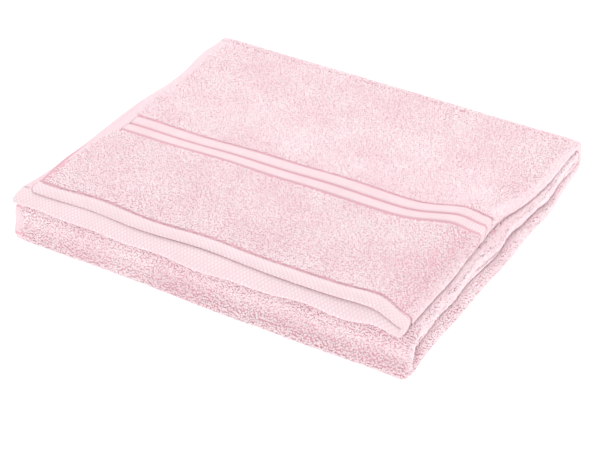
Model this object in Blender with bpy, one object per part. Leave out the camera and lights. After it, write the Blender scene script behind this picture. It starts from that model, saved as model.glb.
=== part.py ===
"""A terry bath towel, folded once across its width and then rolled lengthwise into five panels.

Frame: metres, +Z up. +X runs along the hems, from the selvedges to the side fold, and +Y from the
front of the stack, where the end hems show, to its back. The origin is under the middle of the stack.

The doubled cloth starts at the end hems on top and winds inwards: flap, back wrap, bottom panel,
front wrap, third panel, inner back bend, fourth panel, tucked bend, tucked panel.
"""

import math

import bmesh
import bpy
from mathutils import Matrix, Vector

# Driving dimensions.
FOLDED_WIDTH = 0.351  # along the hems
FOLDED_DEPTH = 0.322  # from the front wrap to the back wrap
PITCH_FRONT = 0.0055  # one layer of terry with its air, where the stack stands loose
PITCH_BACK = 0.0046  # the same, where the back wrap presses it
GAP = 0.0003  # air between touching pieces
SETTLE_LENGTH = 0.120  # the upper panels come down to the lower ones over this, behind the tucked end

END_HEM_WIDTH = 0.013
END_HEM_THICKNESS = 0.0032  # flat cloth turned twice
END_HEM_FOLD_SHARE = 0.8  # how much of the side fold's half round the flat hem fills
SIDE_HEM_WIDTH = 0.010
SIDE_HEM_DROP = 0.0015  # a side hem is this much thinner than a loose layer of terry
HEM_STEP = 0.009  # the upper leaf's hem lies this far behind the lower leaf's
STITCH_WIDTH = 0.0009
STITCH_THICKNESS = 0.0006
STITCH_INSET = 0.0020  # from the hem's inner edge

BORDER_SETBACK = 0.109  # from a hem's edge to its border
BORDER_WIDTH = 0.028
RIB_WIDTHS = (0.0095, 0.0110)  # front rib, back rib
RIB_DROP = 0.0009  # a rib is this much thinner than a loose layer of terry
GROOVE_THICKNESS = 0.0030
RIB_SHOULDER = 0.0012  # a rib rises over this length
RIB_FOLD_SHARE = 0.9  # how much of the side fold's half round the border fills

BEND_REACH = 0.90  # a bend's reach as a share of its half height
BEND_SQUARENESS = 2.5  # 2 is an ellipse, more is squarer
BEND_STEPS = 10  # steps in a bend of 180 degrees
FOLD_STEPS = 8  # steps round the side fold
SETTLE_STEPS = 6  # steps over the settling length
CREASE_OPENING = 0.04  # a bend round nothing keeps its inner line this share of the way out
SMOOTH_ANGLE_DEG = 35
FLAP_STOP_DEG = 82.0  # where the flap meets the floor behind the stack
SPINE_STOP_DEG = 90.0
FLAP_SEAM_DEG = 13.0  # the spine starts this far round the wrap, inside the circle the flap's end turns on
SPINE_SEAM_DEG = 7.0  # the bottom panel ends this far short of the back wrap's middle, for the same reason

BACK, FRONT = 1, -1
TOP, BOTTOM = 1, -1
FULL = 1.0  # a station's relief where the cloth has its whole thickness

SIDE_HEM_THICKNESS = PITCH_FRONT - SIDE_HEM_DROP
RIB_THICKNESS = PITCH_FRONT - RIB_DROP
LEFT = -FOLDED_WIDTH / 2
RIGHT = FOLDED_WIDTH / 2
FRONT_EDGE = -FOLDED_DEPTH / 2
BACK_EDGE = FOLDED_DEPTH / 2
BASE = -GAP / 2  # the lowest layer boundary, so that the lowest face lies at zero


def bend_reach(pitch):
    """How far the outermost leaf of a four-leaf bend stands out from its centre."""
    return BEND_REACH * (4 * pitch - GAP / 2)


FRONT_BEND_Y = FRONT_EDGE + bend_reach(PITCH_FRONT)
BACK_BEND_Y = BACK_EDGE - bend_reach(PITCH_BACK)
SIDE_FOLD_X = RIGHT - PITCH_FRONT  # where the leaves end and the side fold starts
HEM_INNER_X = LEFT + SIDE_HEM_WIDTH


def pitch_at(y):
    share = (y - FRONT_BEND_Y) / (BACK_BEND_Y - FRONT_BEND_Y)
    share = min(max(share, 0.0), 1.0)
    return PITCH_FRONT + share * (PITCH_BACK - PITCH_FRONT)


def signed_power(value):
    return math.copysign(abs(value) ** (2 / BEND_SQUARENESS), value)


def bend_point(end, start, level, angle):
    """A point on a bend at the front or back: level is its half height, angle is counted from its start."""
    pitch, centre_y = (PITCH_BACK, BACK_BEND_Y) if end == BACK else (PITCH_FRONT, FRONT_BEND_Y)
    reach = BEND_REACH * level * pitch * signed_power(math.sin(angle))
    rise = level * pitch * signed_power(math.cos(angle))
    return Vector((0, centre_y + end * reach, BASE + 4 * pitch + start * rise))


def bend_length(end, level, quarters):
    """The length of the cloth's middle line round a bend, in quarters of a turn."""
    steps = 64
    points = [bend_point(end, TOP, level, quarters * math.pi / 2 * i / steps) for i in range(steps + 1)]
    return sum((b - a).length for a, b in zip(points, points[1:]))


def bend(end, start, levels, first=0.0, last=math.pi):
    """Stations of a bend: its inner point, its outer point and its relief."""
    steps = max(2, round(BEND_STEPS * (last - first) / math.pi))
    angles = [first + (last - first) * i / steps for i in range(steps + 1)]
    inner, outer = levels
    return [(bend_point(end, start, inner, a), bend_point(end, start, outer, a), FULL) for a in angles]


TUCK_BEND_LENGTH = bend_length(FRONT, 1, 2)
TUCKED_END_Y = FRONT_BEND_Y + BORDER_SETBACK + BORDER_WIDTH - TUCK_BEND_LENGTH


def settled(y):
    """How much of the tucked panel's height the panels above it still have at y, from 1 down to 0."""
    share = min(max((y - TUCKED_END_Y) / SETTLE_LENGTH, 0.0), 1.0)
    return 1 - share * share * (3 - 2 * share)


def boundary(layers, y, above_tucked=True):
    """The height of a layer boundary over y, with the tucked panel's two layers where they lie."""
    tucked = 2 * settled(y) if above_tucked else 0
    return Vector((0, y, BASE + (layers + tucked) * pitch_at(y)))


def panel(inner, outer, first_y, last_y, above_tucked=True):
    """Stations of a panel between two layer boundaries, counted in layers from the floor."""
    stops = [FRONT_BEND_Y]
    if above_tucked:
        stops += [TUCKED_END_Y + SETTLE_LENGTH * i / SETTLE_STEPS for i in range(SETTLE_STEPS + 1)]
    low, high = min(first_y, last_y), max(first_y, last_y)
    ys = [low] + sorted(y for y in stops if low + GAP < y < high - GAP) + [high]
    if last_y < first_y:
        ys.reverse()
    return [(boundary(inner, y, above_tucked), boundary(outer, y, above_tucked), FULL) for y in ys]


def trimmed(stations):
    """The stations with half a gap taken off each end, so that the next stretch stays clear."""
    ends = []
    for here, there in ((stations[0], stations[1]), (stations[-1], stations[-2])):
        middle_run = ((there[0] + there[1]) / 2 - (here[0] + here[1]) / 2).length
        share = GAP / 2 / middle_run
        ends.append((here[0].lerp(there[0], share), here[1].lerp(there[1], share), here[2]))
    return [ends[0]] + stations[1:-1] + [ends[1]]


def leaf_section(left, right, low_share, high_share, thickness=None):
    """A flat leaf between two shares of the strip, or of its own thickness where there is room for it."""

    def section(depth, relief):
        inset = GAP / 2 / depth
        low = low_share + inset
        high = high_share - inset
        if thickness is not None:
            high = min(high, low + thickness / depth)
        high = low + (high - low) * relief
        return [(left, low), (right, low), (right, high), (left, high)]

    return section


def fold_section(thickness_share=1.0):
    """The side fold: a half round that joins the two leaves at their right edge."""

    def section(depth, relief):
        inset = GAP / 2 / depth
        half = (0.5 - inset) * thickness_share * relief
        left = SIDE_FOLD_X + GAP / 2
        reach = (RIGHT - left) * thickness_share * relief
        points = []
        for i in range(FOLD_STEPS + 1):
            angle = math.pi * (i / FOLD_STEPS - 0.5)
            points.append((left + reach * math.cos(angle), 0.5 + half * math.sin(angle)))
        return points

    return section


INNER_HALF, OUTER_HALF = (0.0, 0.5), (0.5, 1.0)


def place(station, x, share):
    inner, outer, _ = station
    point = inner.lerp(outer, share)
    return Vector((x, point.y, point.z))


def sweep(name, stations, section, material, joint=None):
    """Extrudes a section from station to station along the folded strip and makes it one object."""
    shape = bmesh.new()
    corner = shape.verts.layers.int.new("corner")
    sections = [section((outer - inner).length, relief) for inner, outer, relief in stations]
    first = [shape.verts.new(place(stations[0], x, share)) for x, share in sections[0]]
    for number, vert in enumerate(first):
        vert[corner] = number
    cap = start = shape.faces.new(first)
    for station, points in zip(stations[1:], sections[1:]):
        made = bmesh.ops.extrude_face_region(shape, geom=[cap])["geom"]
        for vert in (item for item in made if isinstance(item, bmesh.types.BMVert)):
            vert.co = place(station, *points[vert[corner]])
        if cap != start:
            shape.faces.remove(cap)
        cap = next(item for item in made if isinstance(item, bmesh.types.BMFace))
    bmesh.ops.recalc_face_normals(shape, faces=shape.faces)
    mesh = bpy.data.meshes.new(name)
    shape.to_mesh(mesh)
    shape.free()
    mesh.shade_smooth()
    mesh.set_sharp_from_angle(angle=math.radians(SMOOTH_ANGLE_DEG))
    mesh.materials.append(material)
    piece = bpy.data.objects.new(name, mesh)
    bpy.context.scene.collection.objects.link(piece)
    if joint:
        piece.parent = joint
        piece.matrix_parent_inverse = joint.matrix_world.inverted()
    return piece


def strip(prefix, stations, field, hem, joint=None, leaves=("outer", "inner")):
    """One stretch of the doubled cloth: its two leaves, the side fold that joins them, and the side hems."""
    clear = trimmed(stations)
    left, right = HEM_INNER_X + GAP / 2, SIDE_FOLD_X - GAP / 2
    for leaf, half in zip(leaves, (OUTER_HALF, INNER_HALF)):
        sweep(f"{prefix}_{leaf}_leaf", clear, leaf_section(left, right, *half), field, joint)
        section = leaf_section(LEFT, HEM_INNER_X - GAP / 2, *half, SIDE_HEM_THICKNESS)
        sweep(f"{prefix}_{leaf}_side_hem", clear, section, hem, joint)
    sweep(f"{prefix}_side_fold", clear, fold_section(), field, joint)


def fabric_material(name, colour, roughness):
    material = bpy.data.materials.new(name)
    material.use_nodes = True
    shader = material.node_tree.nodes["Principled BSDF"]
    shader.inputs["Base Color"].default_value = (*colour, 1)
    shader.inputs["Roughness"].default_value = roughness
    shader.inputs["Metallic"].default_value = 0
    return material


def hinge_empty(name, pos, parent=None):
    empty = bpy.data.objects.new(name, None)
    bpy.context.scene.collection.objects.link(empty)
    empty.empty_display_size = 0.02
    if parent:
        empty.parent = parent
        empty.matrix_parent_inverse = parent.matrix_world.inverted()
    empty.matrix_world = Matrix.Translation(pos)
    bpy.context.view_layer.update()
    return empty


def hinge_points():
    """The two fold axes: each keeps the length of the back wrap's middle line when its quarter opens."""
    start = bend_point(BACK, BOTTOM, 3, 0)
    middle = bend_point(BACK, BOTTOM, 3, math.pi / 2)
    reach, rise = middle.y - start.y, middle.z - start.z
    length = bend_length(BACK, 3, 1)
    y = start.y + (length + reach - rise) / 2
    lower_z = start.z + (reach + rise - length) / 2
    upper_z = 2 * middle.z - lower_z
    return Vector((0, y, lower_z)), Vector((0, y, upper_z))


def bent_stack(terry, flat_weave):
    """Everything under the flap: four panels, their bends and the tucked end."""
    lower_corner = bend(BACK, TOP, (2, 4), math.pi / 2 + math.radians(SPINE_SEAM_DEG), math.pi)
    bottom = panel(2, 0, BACK_BEND_Y, FRONT_BEND_Y, above_tucked=False)
    front_wrap = bend(FRONT, BOTTOM, (2, 4))
    third = panel(4, 6, FRONT_BEND_Y, BACK_BEND_Y)
    back_bend = bend(BACK, TOP, (0, 2))
    fourth = panel(4, 2, BACK_BEND_Y, FRONT_BEND_Y, above_tucked=False)
    tuck_bend = bend(FRONT, BOTTOM, (0, 2))
    hem_y = TUCKED_END_Y - END_HEM_WIDTH
    border_y = TUCKED_END_Y - BORDER_SETBACK
    tuck_border = panel(4, 6, FRONT_BEND_Y, border_y, above_tucked=False)
    tucked = panel(4, 6, border_y, hem_y, above_tucked=False)

    face_down, face_up = ("lower", "upper"), ("upper", "lower")
    strip("bottom_panel", lower_corner + bottom[1:], terry, flat_weave, leaves=face_down)
    strip("front_wrap", front_wrap, terry, flat_weave)
    strip("third_panel", third, terry, flat_weave, leaves=face_up)
    strip("inner_back_bend", opened(back_bend), terry, flat_weave)
    strip("fourth_panel", fourth, terry, flat_weave, leaves=face_down)
    strip("tucked_border", opened(tuck_bend) + tuck_border[1:], flat_weave, flat_weave)
    strip("tucked_panel", tucked, terry, flat_weave, leaves=face_up)
    end_hems("tucked", TUCKED_END_Y, (4, 6), flat_weave, None, False)


def opened(stations):
    """A bend round nothing, with its inner line pushed out a little so that the inner leaf is hollow."""
    return [(inner.lerp(outer, CREASE_OPENING), outer, relief) for inner, outer, relief in stations]


def end_hems(prefix, edge_y, layers, material, joint, at_front, step=0.0):
    """The double-turned hem at one end: both leaves, and the stretch that goes round the side fold."""
    turn = 1 if at_front else -1
    flaps = (("upper", OUTER_HALF, step), ("lower", INNER_HALF, 0.0))
    for leaf, (low, high), back_by in flaps:
        edge = edge_y + turn * back_by
        stations = panel(*layers, edge, edge + turn * END_HEM_WIDTH, above_tucked=False)
        if not at_front:
            stations.reverse()
        section = leaf_section(LEFT, SIDE_FOLD_X - GAP / 2, low, high, END_HEM_THICKNESS)
        sweep(f"{prefix}_end_hem_{leaf}", inner_trimmed(stations, at_front), section, material, joint)
    edge = edge_y + turn * step / 2
    stations = panel(*layers, edge, edge + turn * END_HEM_WIDTH, above_tucked=False)
    if not at_front:
        stations.reverse()
    section = fold_section(END_HEM_FOLD_SHARE)
    sweep(f"{prefix}_end_hem_side_fold", inner_trimmed(stations, at_front), section, material, joint)


def inner_trimmed(stations, at_front):
    """Half a gap taken off the end that meets the terry, so that the hem's own edge keeps its place."""
    clear = trimmed(stations)
    return [stations[0], clear[-1]] if at_front else [clear[0], stations[-1]]


def border_stations(first_y):
    """The dobby border: flat cloth with two raised ribs between three grooves."""
    groove = (BORDER_WIDTH - sum(RIB_WIDTHS)) / 3
    full = PITCH_FRONT - GAP
    low, high = GROOVE_THICKNESS / full, RIB_THICKNESS / full
    y = first_y
    marks = [(y, low)]
    for width in RIB_WIDTHS:
        y += groove
        marks += [(y, low), (y + RIB_SHOULDER, high), (y + width - RIB_SHOULDER, high), (y + width, low)]
        y += width
    marks.append((y + groove, low))
    return [(boundary(6, y), boundary(8, y), relief) for y, relief in marks]


def flap_panel(terry, flat_weave, thread, joint):
    """The top panel, from the end hems that show at the front to the back wrap."""
    left, right = HEM_INNER_X + GAP / 2, SIDE_FOLD_X - GAP / 2
    leaves = (("upper", OUTER_HALF, HEM_STEP), ("lower", INNER_HALF, 0.0), ("side_fold", None, HEM_STEP / 2))
    for leaf, half, step in leaves:
        edge = FRONT_EDGE + step
        border_y = edge + BORDER_SETBACK
        cover = fold_section() if half is None else leaf_section(left, right, *half)
        ribbed = fold_section(RIB_FOLD_SHARE) if half is None else cover
        front = trimmed(panel(6, 8, edge + END_HEM_WIDTH, border_y))
        main = trimmed(panel(6, 8, border_y + BORDER_WIDTH, BACK_BEND_Y))
        sweep(f"flap_front_terry_{leaf}", front, cover, terry, joint)
        sweep(f"flap_border_{leaf}", trimmed(border_stations(border_y)), ribbed, flat_weave, joint)
        sweep(f"flap_main_terry_{leaf}", main, cover, terry, joint)
    end_hems("flap", FRONT_EDGE, (8, 10), flat_weave, joint, True, HEM_STEP)
    for leaf, (low, high), step in leaves[:2]:
        edge = FRONT_EDGE + step + END_HEM_WIDTH
        run = trimmed(panel(6, 8, edge, BACK_BEND_Y))
        section = leaf_section(LEFT, HEM_INNER_X - GAP / 2, low, high, SIDE_HEM_THICKNESS)
        sweep(f"flap_side_hem_{leaf}", run, section, flat_weave, joint)
        stitching(leaf, low, edge - STITCH_INSET, thread, joint)


def stitching(leaf, low_share, last_y, thread, joint):
    """The lockstitch line that holds an end hem down, as one thin cord on top of it."""
    run = panel(8, 10, last_y - STITCH_WIDTH, last_y, above_tucked=False)
    depth = (run[0][1] - run[0][0]).length
    low = low_share + (END_HEM_THICKNESS + GAP) / depth
    section = leaf_section(LEFT + STITCH_WIDTH, SIDE_FOLD_X - STITCH_WIDTH, low, 1.0, STITCH_THICKNESS)
    sweep(f"flap_hem_stitching_{leaf}", run, section, thread, joint)


def build():
    for obj in list(bpy.data.objects):
        bpy.data.objects.remove(obj, do_unlink=True)
    terry = fabric_material("terry", (0.93, 0.72, 0.76), 0.95)
    flat_weave = fabric_material("flat_weave", (0.95, 0.77, 0.80), 0.85)
    thread = fabric_material("thread", (0.95, 0.80, 0.83), 0.60)

    lower_axis, upper_axis = hinge_points()
    spine_joint = hinge_empty("spine_fold_axis", lower_axis)
    spine_joint["stop_deg"] = SPINE_STOP_DEG
    flap_joint = hinge_empty("flap_fold_axis", upper_axis, spine_joint)
    flap_joint["stop_deg"] = FLAP_STOP_DEG

    bent_stack(terry, flat_weave)
    upper_corner = bend(BACK, TOP, (2, 4), math.radians(FLAP_SEAM_DEG), math.pi / 2)
    strip("spine", upper_corner, terry, flat_weave, spine_joint)
    flap_panel(terry, flat_weave, thread, flap_joint)


build()
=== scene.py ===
import math

import bmesh
import bpy
import numpy as np
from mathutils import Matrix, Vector


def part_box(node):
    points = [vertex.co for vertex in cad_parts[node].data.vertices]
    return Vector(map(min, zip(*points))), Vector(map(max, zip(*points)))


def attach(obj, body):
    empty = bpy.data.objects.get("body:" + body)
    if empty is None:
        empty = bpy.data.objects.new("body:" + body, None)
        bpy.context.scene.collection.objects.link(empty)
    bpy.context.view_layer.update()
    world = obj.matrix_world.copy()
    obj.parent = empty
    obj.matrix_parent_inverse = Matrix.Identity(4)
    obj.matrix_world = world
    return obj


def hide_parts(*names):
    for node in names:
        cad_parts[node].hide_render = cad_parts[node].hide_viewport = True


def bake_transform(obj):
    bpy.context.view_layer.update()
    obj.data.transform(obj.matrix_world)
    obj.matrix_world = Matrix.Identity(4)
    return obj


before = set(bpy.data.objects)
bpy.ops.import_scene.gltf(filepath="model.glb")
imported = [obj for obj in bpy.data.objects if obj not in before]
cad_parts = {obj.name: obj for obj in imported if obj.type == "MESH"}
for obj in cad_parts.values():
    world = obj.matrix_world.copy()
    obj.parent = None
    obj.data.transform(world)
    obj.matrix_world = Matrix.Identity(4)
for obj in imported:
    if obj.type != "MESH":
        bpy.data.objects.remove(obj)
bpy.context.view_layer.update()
scene = bpy.context.scene
scene.view_settings.view_transform = "Standard"  # keeps pale cotton pale


# Camera, floor and light come first.

view = {"azimuth": 30.1, "elevation": 35.1, "distance": 1.880, "lens": 137.6, "target": (0.008, -0.027, 0.0)}
light = {"dome": 1.06, "floorGlow": 0.50, "key": 11.5, "keySize": 1.5, "keyPlace": (0.1, 1.1, 1.8),
         "floor": "FAF9F9", "floorSize": 12.0}


def toLinear(code):
    # sRGB hex to the linear colour that shaders use
    parts = [int(code[i:i + 2], 16) / 255 for i in (0, 2, 4)]
    return [c / 12.92 if c <= 0.04045 else ((c + 0.055) / 1.055) ** 2.4 for c in parts] + [1.0]


def addNode(tree, kind, links=(), **settings):
    # links are (input, socket or value) pairs; settings are the node's own properties
    node = tree.nodes.new(kind)
    for key, value in settings.items():
        setattr(node, key, value)
    for socket, source in links:
        if isinstance(source, bpy.types.NodeSocket):
            tree.links.new(source, node.inputs[socket])
        else:
            node.inputs[socket].default_value = source
    return node


def lookFrom(obj, place, target):
    obj.location = place
    obj.rotation_euler = (Vector(target) - Vector(place)).to_track_quat("-Z", "Y").to_euler()


def makeStage():
    azimuth, elevation = math.radians(view["azimuth"]), math.radians(view["elevation"])
    away = Vector((math.sin(azimuth) * math.cos(elevation),
                   -math.cos(azimuth) * math.cos(elevation), math.sin(elevation)))
    camera = bpy.data.objects.new("Camera", bpy.data.cameras.new("Camera"))
    camera.data.lens = view["lens"]
    lookFrom(camera, Vector(view["target"]) + away * view["distance"], view["target"])
    scene.collection.objects.link(camera)
    scene.camera = camera

    lamp = bpy.data.objects.new("softbox", bpy.data.lights.new("softbox", "AREA"))
    lamp.data.energy = light["key"]
    lamp.data.size = light["keySize"]
    lookFrom(lamp, light["keyPlace"], (0, 0, 0))
    scene.collection.objects.link(lamp)

    world = bpy.data.worlds.new("studio")
    world.use_nodes = True
    world.node_tree.nodes["Background"].inputs["Strength"].default_value = light["dome"]
    world.node_tree.nodes["Background"].inputs["Color"].default_value = (1, 1, 1, 1)
    scene.world = world

    shape = bmesh.new()
    bmesh.ops.create_grid(shape, x_segments=1, y_segments=1, size=light["floorSize"] / 2)
    mesh = bpy.data.meshes.new("floor")
    shape.to_mesh(mesh)
    shape.free()
    floor = bpy.data.objects.new("floor", mesh)
    sweep = bpy.data.materials.new("opalAcrylicFloor")  # lit from below, so shadows stay faint
    sweep.use_nodes = True
    for socket, value in (("Base Color", toLinear(light["floor"])), ("Roughness", 0.9),
                          ("Emission Color", (1, 1, 1, 1)), ("Emission Strength", light["floorGlow"])):
        sweep.node_tree.nodes["Principled BSDF"].inputs[socket].default_value = value
    mesh.materials.append(sweep)
    scene.collection.objects.link(floor)


makeStage()
print("stage ready")


# The folded cloth as one long path: the doubled towel winds inwards from the end hems on top.
# t runs along the path, s runs across the towel from the outer leaf's selvedge, round the side fold,
# to the inner leaf's selvedge, and h is the height above the middle of the doubled cloth.

winding = {
    "gap": 0.0003,  # air between neighbouring layers
    "reach": 0.90,  # how far a bend stands out, as a share of its half height
    "squareness": 2.5,  # of a bend's outline
    "settle": 0.120,  # the upper layers come down to the lower ones over this
    "lead": 0.012,  # path kept in front of the front edge for the hems that hang over
    "step": 0.001,  # between the points of the path
    "bendSteps": 60,
    "core": 0.08,  # of a layer, what a bend winds round
    "foldShare": 0.75,  # a side fold is flatter than half a circle
}


def low(node):
    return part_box(node)[0]


def high(node):
    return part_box(node)[1]


gap = winding["gap"]
base = -gap / 2
pitchFront = (high("front_wrap_outer_leaf")[2] - low("front_wrap_outer_leaf")[2] + gap) / 8
pitchBack = (high("inner_back_bend_outer_leaf")[2] - low("inner_back_bend_outer_leaf")[2] + gap) / 4
leftX, rightX = low("flap_end_hem_lower")[0], high("bottom_panel_side_fold")[0]
frontY, backY = low("front_wrap_outer_leaf")[1], high("spine_outer_leaf")[1]
frontReach = winding["reach"] * (4 * pitchFront - gap / 2)
frontMiddle = base + 4 * pitchFront
frontBendY = frontY + frontReach
backBendY = backY - winding["reach"] * (4 * pitchBack - gap / 2)
tuckedEndY = high("tucked_end_hem_upper")[1]
endHemWidth = high("flap_end_hem_lower")[1] - low("flap_end_hem_lower")[1] + gap / 2
sideHemWidth = high("flap_side_hem_upper")[0] - low("flap_side_hem_upper")[0] + gap / 2
hemStep = low("flap_end_hem_upper")[1] - low("flap_end_hem_lower")[1]
borderSetback = low("flap_border_lower")[1] - gap / 2 - frontY
borderWidth = high("flap_border_lower")[1] - low("flap_border_lower")[1] + gap
topZ = high("flap_main_terry_upper")[2]


def smooth(value):
    value = np.clip(value, 0.0, 1.0)
    return value * value * (3 - 2 * value)


def pitchAt(y):
    share = np.clip((y - frontBendY) / (backBendY - frontBendY), 0, 1)
    return pitchFront + share * (pitchBack - pitchFront)


def panelRun(inner, outer, firstY, lastY, aboveTucked):
    # inner and outer are layer counts from the floor
    y = np.linspace(firstY, lastY, max(2, round(abs(lastY - firstY) / winding["step"])))
    tucked = 2 * (1 - smooth((y - tuckedEndY) / winding["settle"])) if aboveTucked else 0
    return np.array([y, base + (inner + tucked) * pitchAt(y), y, base + (outer + tucked) * pitchAt(y)])


def bendRun(atBack, fromTop, inner, outer, first=0.0, last=1.0):
    # first and last are shares of the half turn
    pitch, centre, out = (pitchBack, backBendY, 1) if atBack else (pitchFront, frontBendY, -1)
    angle = np.linspace(first, last, winding["bendSteps"]) * np.pi
    power = 2 / winding["squareness"]
    reach = out * winding["reach"] * pitch * np.abs(np.sin(angle)) ** power
    rise = (1 if fromTop else -1) * pitch * np.sign(np.cos(angle)) * np.abs(np.cos(angle)) ** power
    middle = base + 4 * pitch
    return np.array([centre + inner * reach, middle + inner * rise,
                     centre + outer * reach, middle + outer * rise])


runs = [
    ("flap", panelRun(6, 8, frontY - winding["lead"], backBendY, True)),
    ("upperWrap", bendRun(True, True, 2, 4, 0.0, 0.5)),
    ("lowerWrap", bendRun(True, True, 2, 4, 0.5, 1.0)),
    ("bottom", panelRun(2, 0, backBendY, frontBendY, False)),
    ("frontWrap", bendRun(False, False, 2, 4)),
    ("third", panelRun(4, 6, frontBendY, backBendY, True)),
    ("innerBend", bendRun(True, True, winding["core"], 2)),
    ("fourth", panelRun(4, 2, backBendY, frontBendY, False)),
    ("tuckBend", bendRun(False, False, winding["core"], 2)),
    ("tucked", panelRun(4, 6, frontBendY, tuckedEndY, False)),
]


def joinRuns():
    # one table of the path, and where each run starts and ends on it
    spans, times, tables, start = {}, [], [], 0.0
    for name, run in runs:
        middle = (run[:2] + run[2:]) / 2
        steps = np.hypot(*np.diff(middle, axis=1))
        t = start + np.concatenate([[0.0], np.cumsum(steps)])
        spans[name] = (t[0], t[-1])
        start = t[-1]
        times.append(t)
        tables.append(run)
    return spans, np.concatenate(times), np.concatenate(tables, axis=1)


spans, pathT, pathTable = joinRuns()
foldX = rightX - pitchFront
leafLength = foldX - leftX
foldLength = math.pi * (pitchFront - gap) * winding["foldShare"]
across = 2 * leafLength + foldLength
pathEnd = spans["tucked"][1]
print("path of", round(pathEnd - winding["lead"], 4), "m, cloth", round(across, 4), "m across")


def ripple(a, b, length, seed):
    # five waves of about that length, each turned, shifted and stretched by chance: from -1 to 1 or so
    draws = np.random.default_rng(seed).uniform((0, 0, 0.7), (np.pi, 2 * np.pi, 1.5), (5, 3))
    total = 0
    for turn, phase, stretch in draws:
        along = a * math.cos(turn) + b * math.sin(turn)
        total = total + np.sin(along * 2 * np.pi / (length * stretch) + phase)
    return total * 0.36


# Three forms that the places below are given in.

def hump(value, height, middle, width):
    return height * np.exp(-((value - middle) / width) ** 2)


def ramp(value, height, start, length):
    return height * smooth((value - start) / length)


def fade(value, height, start, length):
    return height * (1 - smooth((value - start) / length))


def unrest(a, b, amount, length, seed):
    return amount * ripple(a, b, length, seed)


# How the real cloth lies off the plain fold, in metres. A hump is (height, middle, width), a ramp or a fade is
# (height, start, length) and an unrest is (amount, wave length, seed).

sides = {
    "edgeUnrest": (0.0010, 0.060, 3),
    "flapTuck": (0.0052, -0.005, 0.055),  # hump: the flap's side fold lies in beside its border
    "borderPull": (0.0045, -0.018, 0.045),  # hump: the border draws the upper selvedge in
    "hemPull": (0.0012, -0.150, 0.020),  # hump: and so does the end hem
    "backSlack": (0.0040, 0.075, 0.060),  # ramp: towards the back it lies further out
    "outerUnrest": (0.0005, 0.045, 5),
    "innerUnrest": (0.0006, 0.055, 6),
    "lowerOut": (0.0075, 0.0, 0.050),  # fade: the flap's lower leaf stands out at the front
    "pastSelvedge": 0.02,  # as a share of a leaf, how far places may lie past its selvedge
    "pinch": (0.45, 0.146, 0.026),  # ramp: the flap is pinched to a round edge at its side fold
    "flapEase": 0.030,  # the flap's own forms end over this length of the path
}
frontShape = {
    "square": 6.0,  # how full the lower half of the front is
    "sag": 0.22,  # how far it comes forward at the floor, as a share
    "sagRight": (1.1, -0.100, 0.150),  # ramp: more so on the right
    "sagFrom": 1.3,  # how high up the sag starts
}
hang = {
    "near": (1, 0.030, 0.060),  # fade: how far behind the front edge the hems shift the cloth
    "slant": -0.018,  # the upper hem's edge runs this much forward per metre to the right
    "slantFrom": -0.020,
    "slantShift": -0.0015,
    "upperUnrest": (0.0011, 0.075, 11),
    "reach": 0.0030,  # the lower hem lies this far past the front edge
    "belly": (0.0045, 0.020, 0.075),  # hump: and this much more in its middle
    "lowerUnrest": (0.0011, 0.060, 12),
    "reachEnds": (1, 0.0, 0.016),  # fade: under the upper hem it lies where the cloth does
    "droopFrom": 0.014,  # the lower hem starts to droop this far behind the front edge
    "droopRight": (0.30, 0.125, 0.045),  # ramp: less so at the side fold
    "droop": 0.0066,  # how far it hangs down at the front edge
    "droopCurve": 1.7,
    "droopUnrest": (0.16, 0.050, 13),
    "rest": 0.0012,  # how far the upper hem's edge comes down onto the lower one
    "restLength": 0.007,
    "restUnrest": (0.2, 0.090, 14),
}
bow = {
    "back": 0.0014,  # the border draws the cloth in and bows back this much
    "unrest": (0.3, 0.200, 15),
    "curl": (0.0135, 0.100, 0.055),  # and this much more as it goes over the side fold
    "curlMost": 1.25,  # it goes no further than this over that length
    "over": (1, -0.030, 0.050),  # hump: where the border lies
}
settling = {
    "puff": (0.0038, 0.143, 0.024),  # hump: the flap stands up beside the side fold
    "puffEnds": (1, 0.020, 0.130),  # fade: but not at the back
    "puffShare": 0.8,
    "puffUnrest": (0.2, 0.090, 21),
    "leftDrop": (0.0028, -0.020, 0.170),  # ramp to the left: the flap lies lower there
    "swellSide": (1, 0.150, 0.022),  # ramp: the side folds swell from here
    "swellBehind": (1, -0.012, 0.022),  # ramp from the front bend
    "swellWave": (0.42, 0.055, 25),  # unrest, in layers
    "curl": (0.0048, 0.143, 0.032),  # ramp: everything near the side fold comes down at the top
    "curlEnds": (0.8, 0.060, 0.080),  # ramp: less so at the back
    "corner": (0.0042, 0.125, 0.045),  # ramp: the back right corner stands up
    "cornerBack": (1, 0.100, 0.050),
    "frontEase": 0.020,  # the top lies still this near the front edge
    "backEase": 0.030,  # and the back one
    "topUnrest": (0.0011, 0.110, 22),
    "frontUnrest": (0.004, 0.080, 23),
    "frontEnds": (1, 0.0, 0.040),
    "rightUnrest": (0.004, 0.050, 24),
    "rightStarts": (1, 0.130, 0.040),
    "floor": 0.00002,  # nothing lies lower
}
# what the layer counts 2, 4 and 6 become where the side folds swell, and how much less behind the tucked hem
swollen = ((4.2, 1.2), (4.6, 0.9), (5.0, 1.3))
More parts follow.
